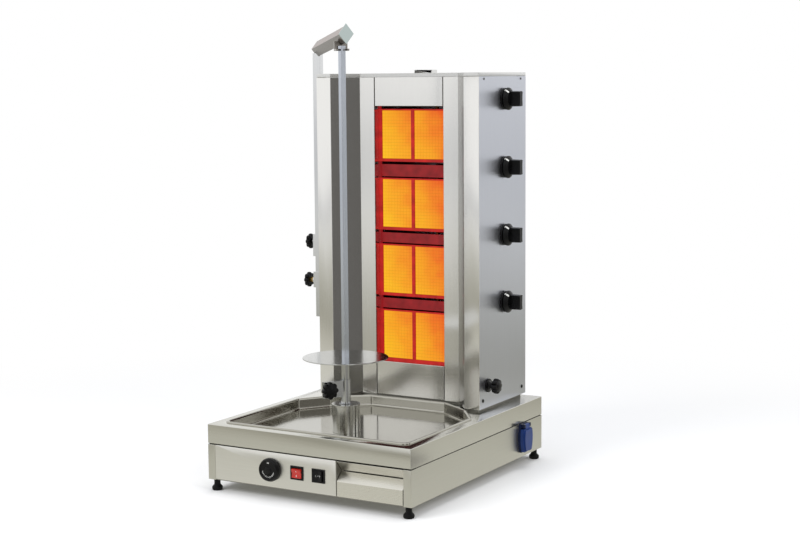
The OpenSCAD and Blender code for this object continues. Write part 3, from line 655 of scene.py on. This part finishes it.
column_steel = turned("stainless_304_turned_tube", "#CFCFCB", 0.13)
dressed("drive_column", column_steel, edge=0.0008)
dressed("drive_bracket", inner_steel, edge=0)
shaft_steel = steel("steel_ground_shaft", "#B9BBBD", "X", rough=0.2, anisotropy=0.0)
dressed("drive_shaft", shaft_steel)
gear_brass = steel("brass_hobbed_gear", "#B99A5B", "X", rough=0.3, anisotropy=0.0)
dressed("drive_gear", gear_brass, edge=0.0002)
dressed("motor_pinion", gear_brass, edge=0.0002)
motor_paint = moulded("motor_enamel_dark_grey", "#4A4C50", rough=0.4, grain_mm=1.6, dent=0.06)
dressed("gear_motor", motor_paint, edge=0.001)

# ------------------------------
# Spit: slit socket drawn together by a lobed knob, square bar, and the round
# plate that carries the meat, all polished stainless steel.
spit_steel = steel("stainless_304_ground_bar", "#C4C9D2", "Z", rough=0.26, anisotropy=0.3, streak_mm=2)
socket_steel = turned("stainless_304_machined_socket", "#C9CBCC", 0.13)
plate_steel = polished("stainless_304_satin_plate", "#C8C9C7", rough=0.16, wave=0.0)
dressed("spit_socket", socket_steel, edge=0.0008, segments=3)
dressed("spit_bar", spit_steel, edge=0.0007, segments=3)
spin = laid(0, -175, 0, spin=-27)
parts = [(spun([(0, 342.5), (109.8, 342.5), (110.7, 343), (111, 344), (110.7, 345), (109.8, 345.5), (0, 345.5)], 128),
          plate_steel, spin),
         (spun([(0, 288), (9.9, 288), (10.5, 288.6), (10.5, 340.6), (11.1, 341.7), (12.4, 342.4), (0, 342.4)], 48),
          plate_steel, spin)]
assembled("meat_plate_and_hub", parts, "spit_plate", angle=40)


def star_knob(reach, height, neck, stub, cap=0.62):
    """Profile of an eight-lobed clamp knob in mm, from its underside up."""
    return [(neck, stub), (reach * 0.8, stub, 0.1), (reach * 0.97, stub + height * 0.12, 0.24),
            (reach, stub + height * 0.3, 0.28), (reach, stub + height * 0.7, 0.28),
            (reach * 0.96, stub + height * 0.88, 0.25), (reach * 0.85, stub + height, 0.17),
            (reach * cap, stub + height, 0.02), (reach * 0.5, stub + height + 1.6),
            (reach * 0.3, stub + height + 2.4), (0, stub + height + 2.6)]


zinc_stud = steel("steel_zinc_plated", "#B5B3A6", "X", rough=0.3, anisotropy=0.0)
axis = laid(0, -175, 0, spin=-27) @ laid(0, -58, 266, along="X")
parts = [(spun([(0, -12), (4, -12), (4, 8), (0, 8)], 32), zinc_stud, axis),
         (spun([(0, -13), (7, -13), (8, -12.2), (8, -7), (0, -7)], 6), zinc_stud, axis),
         (spun([(0, 7), (8.4, 7), (9, 7.6), (9, 11), (0, 11)], 32), knob_black, axis),
         (spun([(0, 11)] + star_knob(23, 15, 9, 11), 96, 8), knob_black, axis)]
assembled("socket_clamp_knob", parts, "socket_knob", edge=0.0003, angle=40)

# ------------------------------
# Heater tower: corner uprights and a floor carry folded columns, side panels and
# a top cap of 2 mm stainless sheet, brushed upright.
tower_steel = steel("stainless_304_brushed_column", "#ECEBE8", "Z", rough=0.19, streak_mm=2)
# painted reflection: the side, back and vent steel is tinted blue for the bluish room it mirrors
side_steel_painted_blue = steel("stainless_304_brushed_side_painted_blue_reflection", "#D3D6DE", "Z", rough=0.34, streak_mm=2)
cap_steel = steel("stainless_304_brushed_cap", "#E0E0DE", "X", rough=0.28)
dressed("heater_floor", inner_steel, edge=0)
dressed("tower_frame", inner_steel, edge=0)
columns = dressed("front_columns", tower_steel, edge=0.0003, fold=0.0018)
columns.data.materials.append(steel("stainless_304_brushed_column_painted_dark_reflection", "#A6A5A3", "Z", rough=0.19, streak_mm=2))
# painted reflection: their slanted returns take a darker copy of the column steel, for the darker side of the room
# they look back at
for face in columns.data.polygons:
    slanted = 0.3 < abs(face.normal.x) < 0.95 and face.normal.y < -0.3
    face.material_index = 1 if slanted else 0
dressed("side_panel_left", side_steel_painted_blue, edge=0.0003)
dressed("side_panel_right", side_steel_painted_blue, edge=0.0003)
dressed("front_panels", tower_steel, edge=0.0003, fold=0.0015)
dressed("top_cap", cap_steel, edge=0.0003, fold=0.0015)
dressed("back_panel", side_steel_painted_blue, edge=0.0003)


# ------------------------------
# Vent hoods: each slot of the back panel has a small pressed hood over it.
def rows_tree(name, inputs):
    """A Geometry Nodes tree with named inputs and one mesh output: the tree, its inputs' sockets and its output."""
    tree = bpy.data.node_groups.new(name, "GeometryNodeTree")
    for label, kind in inputs.items():
        tree.interface.new_socket(label, in_out="INPUT", socket_type="NodeSocket" + kind)
    tree.interface.new_socket("Geometry", in_out="OUTPUT", socket_type="NodeSocketGeometry")
    tree.is_modifier = True
    given = {socket.name: socket for socket in put(tree, "NodeGroupInput").outputs}
    return tree, given, put(tree, "NodeGroupOutput")


def grown(name, tree, values, body, slot, *stands_for):
    host = placed(name + "_maker", bpy.data.meshes.new(name))
    maker = host.modifiers.new("rows", "NODES")
    maker.node_group = tree
    for item in tree.interface.items_tree:
        if item.in_out == "INPUT" and item.name in values:
            maker[item.identifier] = values[item.name]
    seen_by = bpy.context.evaluated_depsgraph_get()
    mesh = bpy.data.meshes.new_from_object(host.evaluated_get(seen_by), depsgraph=seen_by)
    bpy.data.objects.remove(host)
    mesh.name = name
    piece = placed(name, mesh)
    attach(piece, body)
    if stands_for:
        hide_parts(*stands_for)
    return piece


def template(name, shape):
    """A shape in mm kept out of the scene, for a tree to repeat."""
    shape.transform(Matrix.Scale(0.001, 4))
    bmesh.ops.recalc_face_normals(shape, faces=shape.faces)
    mesh = bpy.data.meshes.new(name)
    shape.to_mesh(mesh)
    shape.free()
    return bpy.data.objects.new(name, mesh)


def spaced_points(tree, given):
    """A flat grid of as many columns and rows as given, at the given pitches."""
    size = []
    for count, pitch in (("Columns", "Pitch X"), ("Rows", "Pitch Z")):
        gaps = put(tree, "Math", {0: given[count], 1: 1.0}, operation="SUBTRACT")
        size.append(put(tree, "Math", {0: gaps, 1: given[pitch]}, operation="MULTIPLY"))
    return put(tree, "GeometryNodeMeshGrid", {
        "Size X": size[0], "Size Y": size[1], "Vertices X": given["Columns"], "Vertices Y": given["Rows"]})


def spread_over(tree, points, shape, finish, result):
    """Sets a shape on every point, makes it real, gives it its finish and ends the tree."""
    copies = put(tree, "GeometryNodeInstanceOnPoints", {"Points": points, "Instance": shape})
    real = put(tree, "GeometryNodeRealizeInstances", {"Geometry": copies})
    put(tree, "GeometryNodeSetMaterial", {"Geometry": real, "Material": finish}, to=result)


vent_tree, given, result = rows_tree("vent_rows", {
    "Hood": "Object", "Columns": "Int", "Rows": "Int", "Pitch X": "Float", "Pitch Z": "Float", "Centre": "Vector",
    "Finish": "Material"})
grid = spaced_points(vent_tree, given)
raised = put(vent_tree, "GeometryNodeTransform", {
    "Geometry": grid, "Rotation": (math.pi / 2, 0, 0), "Translation": given["Centre"]})
hood = put(vent_tree, "GeometryNodeObjectInfo", {"Object": given["Hood"]})
spread_over(vent_tree, raised, hood.outputs["Geometry"], given["Finish"], result)


def vent_hood(width, height, depth, sheet=1.2, steps=6):
    """Half-round hood in mm, closed at its ends and open below, standing along +Y from its slot."""
    shape = bmesh.new()
    rows = []
    for skin in (0, 1):
        thick = sheet * skin
        for k in range(steps + 1):
            t = math.pi / 2 * k / steps
            y = (depth - thick) * math.cos(t)
            z = (height - thick) * math.sin(t)
            half = width / 2 - thick - (1.5 + skin) * (1 - math.cos(t))
            rows.append([shape.verts.new((x, y, z)) for x in (-half, half)])
    n = steps + 1
    for k in range(steps):
        for a, b, c, d in ((rows[k][0], rows[k][1], rows[k + 1][1], rows[k + 1][0]),
                           (rows[n + k][1], rows[n + k][0], rows[n + k + 1][0], rows[n + k + 1][1])):
            shape.faces.new((a, b, c, d))
    for side in (0, 1):
        outer = [rows[k][side] for k in range(n)] + [shape.verts.new((rows[0][side].co.x, 0, 0))]
        inner = [rows[n + k][side] for k in range(n)] + [shape.verts.new((rows[n][side].co.x, 0, 0))]
        shape.faces.new(outer)
        shape.faces.new(inner)
        shape.faces.new((outer[0], outer[-1], inner[-1], inner[0]))
    shape.faces.new((rows[0][0], rows[0][1], rows[n][1], rows[n][0]))
    shape.faces.new((rows[n - 1][0], rows[n - 1][1], rows[2 * n - 1][1], rows[2 * n - 1][0]))
    return shape


hood_shape = template("vent_hood", vent_hood(34, 9, 4.6))
half_slot = 2.6
for name, rows, middle in (("vent_hoods_low", 2, 275), ("vent_hoods_high", 3, 960)):
    grown(name, vent_tree, {
        "Hood": hood_shape, "Columns": 7, "Rows": rows, "Pitch X": 0.05, "Pitch Z": 0.03,
        "Centre": (0, 0.37, (middle + half_slot) / 1000), "Finish": side_steel_painted_blue}, "frame", "steel_brushed")

# ------------------------------
# Panel screws: domed stainless screws with a socket at the top corners of each
# side panel, and black caps over the lower ones.
screw_tree, given, result = rows_tree("screw_set", {
    "Head": "Object", "Front": "Float", "Back": "Float", "Height": "Float", "Face": "Float", "Turn": "Float",
    "Finish": "Material"})
first = put(screw_tree, "CombineXYZ", {0: given["Face"], 1: given["Front"], 2: given["Height"]})
last = put(screw_tree, "CombineXYZ", {0: given["Face"], 1: given["Back"], 2: given["Height"]})
line = put(screw_tree, "GeometryNodeMeshLine", {
    "Count": 2, "Start Location": first, "Offset": last}, mode="END_POINTS")
head = put(screw_tree, "GeometryNodeObjectInfo", {"Object": given["Head"]})
facing = put(screw_tree, "CombineXYZ", {1: given["Turn"]})
outwards = put(screw_tree, "GeometryNodeTransform", {"Geometry": head.outputs["Geometry"], "Rotation": facing})
spread_over(screw_tree, line, outwards, given["Finish"], result)


def domed_head(radius, height, recess):
    """Domed screw head in mm on its shank, with a drive recess of that depth."""
    return spun([(0, -9), (1.9, -9), (1.9, 0), (radius, 0), (radius, height * 0.45), (radius * 0.86, height * 0.8),
                 (radius * 0.55, height), (radius * 0.42, height), (radius * 0.3, height - recess * 0.8),
                 (0, height - recess)], 24)


screw_steel = steel("stainless_a2_screw", "#8E8F92", "X", rough=0.3, anisotropy=0.0)
small_head = template("small_head", domed_head(3.2, 1.95, 1.1))
cap_head = template("cap_head", domed_head(5.0, 1.95, 0.1))
for side, label in ((-1, "left"), (1, "right")):
    for head_shape, finish_of, front, back, height, kind in (
            (small_head, screw_steel, 0.120, 0.338, 1.056, "upper"),
            (cap_head, switch_black, 0.111, 0.346, 0.2025, "lower")):
        grown(f"panel_screws_{kind}_{label}", screw_tree, {
            "Head": head_shape, "Front": front, "Back": back, "Height": height, "Face": side * 0.251,
            "Turn": side * math.pi / 2, "Finish": finish_of}, "frame", "black_plastic", "panel_screws")

# ------------------------------
# Burners: stainless boxes whose front flange, and the rails and cross plates between them,
# get a painted dull red glow that stands in for the plaques' light falling on them.
def painted_glow_steel(name, cold, glow_colour, strength, front_y):
    """Steel with painted light: a dark red body and a red emission on its front stand in for the plaques' glow
    falling on it; only the sheet beside it mirrors that.
    """
    material, tree, out = new_material(name)
    place = put(tree, "TexCoord").outputs["Object"]
    spot = put(tree, "SeparateXYZ", {0: place})
    front = put(tree, "MapRange", {
        "Value": spot.outputs["Y"], "From Min": front_y, "From Max": front_y + 0.004, "To Min": 1.0, "To Max": 0.0})
    scale = put(tree, "TexNoise", {"Vector": place, "Scale": 38.0, "Detail": 3.0})
    mottled = put(tree, "MapRange", {
        "Value": scale.outputs["Fac"], "From Min": 0.3, "From Max": 0.7, "To Min": 0.75, "To Max": 1.2})
    lit_up = put(tree, "Math", {0: front, 1: mottled}, operation="MULTIPLY")
    path = put(tree, "LightPath")
    beside = put(tree, "MapRange", {
        "Value": path.outputs["Ray Length"], "From Min": 0.08, "From Max": 0.25, "To Min": 1.0, "To Max": 0.0})
    shown = put(tree, "Math", {0: beside, 1: path.outputs["Is Camera Ray"]}, operation="MAXIMUM")
    mirrored = put(tree, "Math", {0: lit_up, 1: shown}, operation="MULTIPLY")
    power = put(tree, "Math", {0: mirrored, 1: strength}, operation="MULTIPLY")
    body = put(tree, "HueSaturation", {"Color": linear(cold), "Value": mottled})
    put(tree, "BsdfPrincipled", {
        "Base Color": body, "Metallic": 0.3, "Roughness": 0.5, "Emission Color": linear(glow_colour),
        "Emission Strength": power}, to=out)
    return material


flange_painted_glow = painted_glow_steel("stainless_309_flange_painted_glow", "#4A0E0C", "#D4201C", 0.66, 0.1845)
rail_painted_glow = painted_glow_steel("stainless_309_rail_painted_glow", "#3A1010", "#AC1B22", 0.56, 0.19)
for i in range(4):
    dressed(f"burner_{i + 1}", flange_painted_glow)
dressed("burner_rails", rail_painted_glow, edge=0.0003)

# ------------------------------
# Plaques: two perforated ceramic tiles a burner, pressed with rows of raised
# squares. Gas burns in their holes: yellow where hottest, orange to the top right.
glowing, tree, out = new_material("cordierite_plaque_glowing")
place = put(tree, "TexCoord").outputs["Object"]
spot = put(tree, "SeparateXYZ", {0: place})
within = put(tree, "Attribute", attribute_name="place_in_tile")
tile = put(tree, "SeparateXYZ", {0: within.outputs["Vector"]})
cool = put(tree, "Math", {0: tile.outputs["X"], 1: 4.2}, operation="MULTIPLY")
up = put(tree, "Math", {0: tile.outputs["Z"], 1: 3.0, 2: cool}, operation="MULTIPLY_ADD")
right = put(tree, "Math", {0: spot.outputs["X"], 1: 2.6, 2: up}, operation="MULTIPLY_ADD")
patch = put(tree, "TexNoise", {"Vector": place, "Scale": 26.0, "Detail": 2.0})
blotch = put(tree, "Math", {0: patch.outputs["Fac"], 1: 0.5, 2: right}, operation="MULTIPLY_ADD")
heat = put(tree, "MapRange", {"Value": blotch, "From Min": -0.35, "From Max": 0.85})
flame = put(tree, "ValToRGB", {"Fac": heat})
flame.color_ramp.elements[0].color = linear("#F8BE1E")
flame.color_ramp.elements[1].color = linear("#E85C1E")
flame.color_ramp.elements.new(0.5).color = linear("#F39C1C")
# holes are 1.3 mm at 2.2 mm; drawn at 3 mm so that they show
sheet_place = put(tree, "CombineXYZ", {0: spot.outputs["X"], 1: spot.outputs["Z"]})
holes = put(tree, "TexVoronoi", {
    "Vector": sheet_place, "Scale": 1000 / 3.0, "Randomness": 0.0}, voronoi_dimensions="2D")
dark_holes = put(tree, "MapRange", {
    "Value": holes.outputs["Distance"], "From Min": 0.2, "From Max": 0.42, "To Min": 0.92, "To Max": 1.03})
# painted shade: the recessed face between the raised squares glows less than the squares
recess_shade = put(tree, "MapRange", {
    "Value": spot.outputs["Y"], "From Min": 0.1846, "From Max": 0.1856, "To Min": 1.0, "To Max": 0.78})
power = put(tree, "Math", {0: dark_holes, 1: recess_shade}, operation="MULTIPLY")
put(tree, "BsdfPrincipled", {
    "Base Color": linear("#3C1A0A"), "Roughness": 0.9, "Emission Color": flame, "Emission Strength": power}, to=out)

tile_tree, given, result = rows_tree("plaque_set", {
    "Body": "Object", "Square": "Object", "Columns": "Int", "Rows": "Int", "Pitch X": "Float", "Pitch Z": "Float",
    "Places": "Object", "Finish": "Material"})
grid = spaced_points(tile_tree, given)
upright = put(tile_tree, "GeometryNodeTransform", {"Geometry": grid, "Rotation": (math.pi / 2, 0, 0)})
square = put(tile_tree, "GeometryNodeObjectInfo", {"Object": given["Square"]})
squares = put(tile_tree, "GeometryNodeInstanceOnPoints", {"Points": upright, "Instance": square.outputs["Geometry"]})
squares_real = put(tile_tree, "GeometryNodeRealizeInstances", {"Geometry": squares})
slab = put(tile_tree, "GeometryNodeObjectInfo", {"Object": given["Body"]})
one_tile = put(tile_tree, "GeometryNodeJoinGeometry")
tile_tree.links.new(squares_real.outputs[0], one_tile.inputs[0])
tile_tree.links.new(slab.outputs["Geometry"], one_tile.inputs[0])
where = put(tile_tree, "GeometryNodeInputPosition")
marked = put(tile_tree, "GeometryNodeStoreNamedAttribute", {
    "Geometry": one_tile, "Name": "place_in_tile", "Value": where}, data_type="FLOAT_VECTOR", domain="POINT")
spots = put(tile_tree, "GeometryNodeObjectInfo", {"Object": given["Places"]})
spread_over(tile_tree, spots.outputs["Geometry"], marked, given["Finish"], result)

tile_spots = bpy.data.meshes.new("tile_spots")
tile_spots.from_pydata([(side * 0.051, 0.1845, row / 1000) for row in (349, 532.5, 716, 905.5) for side in (-1, 1)],
                       [], [])
tiles = grown("glowing_plaques", tile_tree, {
    "Body": template("tile_body", block(-46.6, 46.6, 1.1, 13, -66, 66)),
    "Square": template("tile_square", block(-4.2, 4.2, 0, 1.3, -3.95, 3.95)),
    "Columns": 10, "Rows": 15, "Pitch X": 0.0093, "Pitch Z": 0.00875,
    "Places": bpy.data.objects.new("tile_spots", tile_spots), "Finish": glowing},
    "frame", "ceramic_glow", "plaques")
# the pan and the plate mirror none of their light
tiles.visible_glossy = False

# ------------------------------
# Gas pipework: a brass manifold inside the tower with four taps, its union nut
# at the back. The floor and uprights inside keep their plain mill finish.
pipe_brass = steel("brass_tarnished_tube", "#6A5734", "Z", rough=0.5, anisotropy=0.0)
finish(pipe_brass, "gas_rail")
dressed("inlet_nut", gear_brass, edge=0.0006)


# ------------------------------
# Tap knobs: black phenolic mouldings with a flange, a skirt that carries the
# white index and a pinched grip, pushed on a flatted spindle.
def index_mark(r0, z0, r1, z1, width, thick=0.25):
    """Printed stripe in mm that runs up a turned surface from (r0, z0) to (r1, z1)."""
    along = Vector((r1 - r0, z1 - z0)).normalized()
    off = Vector((along.y, -along.x)) * thick
    shape = bmesh.new()
    ends = []
    for r, z in ((r0, z0), (r1, z1)):
        ends.append([shape.verts.new((r + k * off.x, side * width / 2, z + k * off.y))
                     for side, k in ((-1, -1), (1, -1), (1, 1), (-1, 1))])
    shape.faces.new(ends[0])
    shape.faces.new(ends[1][::-1])
    walled(shape, *ends)
    return shape


grip_half = [(math.sqrt(21 ** 2 - 81), 9)]
grip_half += [(x, 7.6 + 1.4 * (x / 19) ** 2) for x in (14, 9, 4, 0, -4, -9, -14)]
grip_half += [(-math.sqrt(21 ** 2 - 81), 9), (-20.2, 5.6), (-20.9, 2)]
grip = grip_half + [(-x, -y) for x, y in grip_half]
skirt = [(0, 0), (27.8, 0), (29, 0.9), (29, 4.4), (28.2, 5.4), (22.4, 5.7), (22, 6.2), (22, 7.8), (22.4, 8.3),
         (28.8, 8.4), (30, 9.3), (30, 12.6), (29.3, 13.7), (21.8, 20), (20.8, 20.7), (0, 20.8)]
for i in range(4):
    axis = laid(251.6, 240, 455 + i * 182.5, along="X")
    mark = axis @ Matrix.Rotation(math.radians(220), 4, "Z")
    assembled(f"tap_knob_{i + 1}_moulding", [
        (spun([(0, -18.6), (4, -18.6), (4, 0), (0, 0)], 24), zinc_stud, axis),
        (spun(skirt, 64), knob_black, axis),
        (prism(grip, 20.4, 49.4, 0.97), knob_black, axis),
        (index_mark(30.05, 9.6, 30.05, 12.8, 5.4), print_white, mark),
        (index_mark(29.4, 13.7, 22.4, 19.6, 5.4), print_white, mark)], f"tap_knob_{i + 1}", edge=0.0005, angle=38)

axis = laid(0, 140, 240, along="X")
assembled("tower_clamp_knob", [
    (spun([(0, 238), (4, 238), (4, 252), (0, 252)], 24), zinc_stud, axis),
    (spun([(0, 251.5), (17.6, 251.5), (18.5, 252.3), (18.5, 254.6), (17.6, 255.5), (13, 255.5), (11.6, 256.3),
           (8.2, 261), (8, 262), (8, 269), (0, 269)], 48), knob_black, axis),
    (spun([(0, 268.5)] + star_knob(20.5, 16, 8, 268.5), 96, 8), knob_black, axis)],
    "tower_knob", edge=0.0003, angle=40)

# ------------------------------
# Upper arm: square post that slides in two sleeves, a bar set on edge across its
# top that ends in a bright plate, and the fork that steadies the spit.
post_steel = steel("stainless_304_polished_post", "#DDDEDF", "Z", rough=0.18, anisotropy=0.3)
fork_steel = steel("stainless_304_fork_heat_darkened", "#98938D", "X", rough=0.3, anisotropy=0.0)
dressed("post_sleeves", post_steel, edge=0.0005)
dressed("arm_post", post_steel, edge=0.0006, segments=3)
dressed("arm_fork", fork_steel, edge=0.0006)
arm_steel, tree, out = new_material("stainless_304_arm_painted_top_light")
where = put(tree, "TexCoord")
place = where.outputs["Object"]
# painted light: faces turned up take a lighter brown, broken by noise, while the sides and underside stay dark
facing = put(tree, "SeparateXYZ", {0: where.outputs["Normal"]})
top_side = put(tree, "MapRange", {"Value": facing.outputs["Z"], "From Min": -0.1, "From Max": 0.2})
cloud = put(tree, "TexNoise", {"Vector": place, "Scale": 22.0, "Detail": 3.0})
top_painted_light = put(tree, "Math", {0: top_side, 1: cloud.outputs["Fac"]}, operation="MULTIPLY")
tone = put(tree, "ValToRGB", {"Fac": top_painted_light})
tone.color_ramp.elements[0].color = linear("#5F564E")
tone.color_ramp.elements[1].color = linear("#765A4A")
tone.color_ramp.elements[1].position = 0.55
put(tree, "BsdfPrincipled", {"Base Color": tone, "Metallic": 1.0, "Roughness": 0.24}, to=out)
# painted reflection: the mirror plate's colour is tinted green for what its face mirrors
end_plate_painted_green = polished("stainless_304_mirror_end_plate_painted_green_reflection", "#B4BFBD", rough=0.06, wave=0.03)
arm = dressed("spit_arm", arm_steel, edge=0.0008)
arm.data.materials.append(end_plate_painted_green)
swing = math.atan2(-175 - 120, 265)
rise = math.radians(3.4)
heading = Vector((math.cos(swing) * math.cos(rise), math.sin(swing) * math.cos(rise), math.sin(rise)))
plate_thickness = 0.0042
far = max(v.co.dot(heading) for v in arm.data.vertices)
for face in arm.data.polygons:
    if face.center.dot(heading) > far - plate_thickness:
        face.material_index = 1


def post_knob(name, node, height, gap, stem):
    """Lobed knob on its screw, turned against the post's sleeve from the left."""
    axis = laid(0, 120, height, along="-X")
    sleeve = 287.6
    under = sleeve + gap
    assembled(name, [
        (spun([(0, 278.2), (3, 278.2), (3, 288.2), (0, 288.2)], 24), zinc_stud, axis),
        (spun([(0, sleeve), (6.6, sleeve), (7, sleeve + 0.4), (7, under), (0, under)], 32), stem, axis),
        (spun([(0, under)] + star_knob(21, 12, 7, under), 96, 8), knob_black, axis)], node, edge=0.0003, angle=40)


post_knob("post_clamp_knob_upper", "post_knob_upper", 607, 3, knob_black)
post_knob("post_clamp_knob_lower", "post_knob_lower", 498, 10, gear_brass)
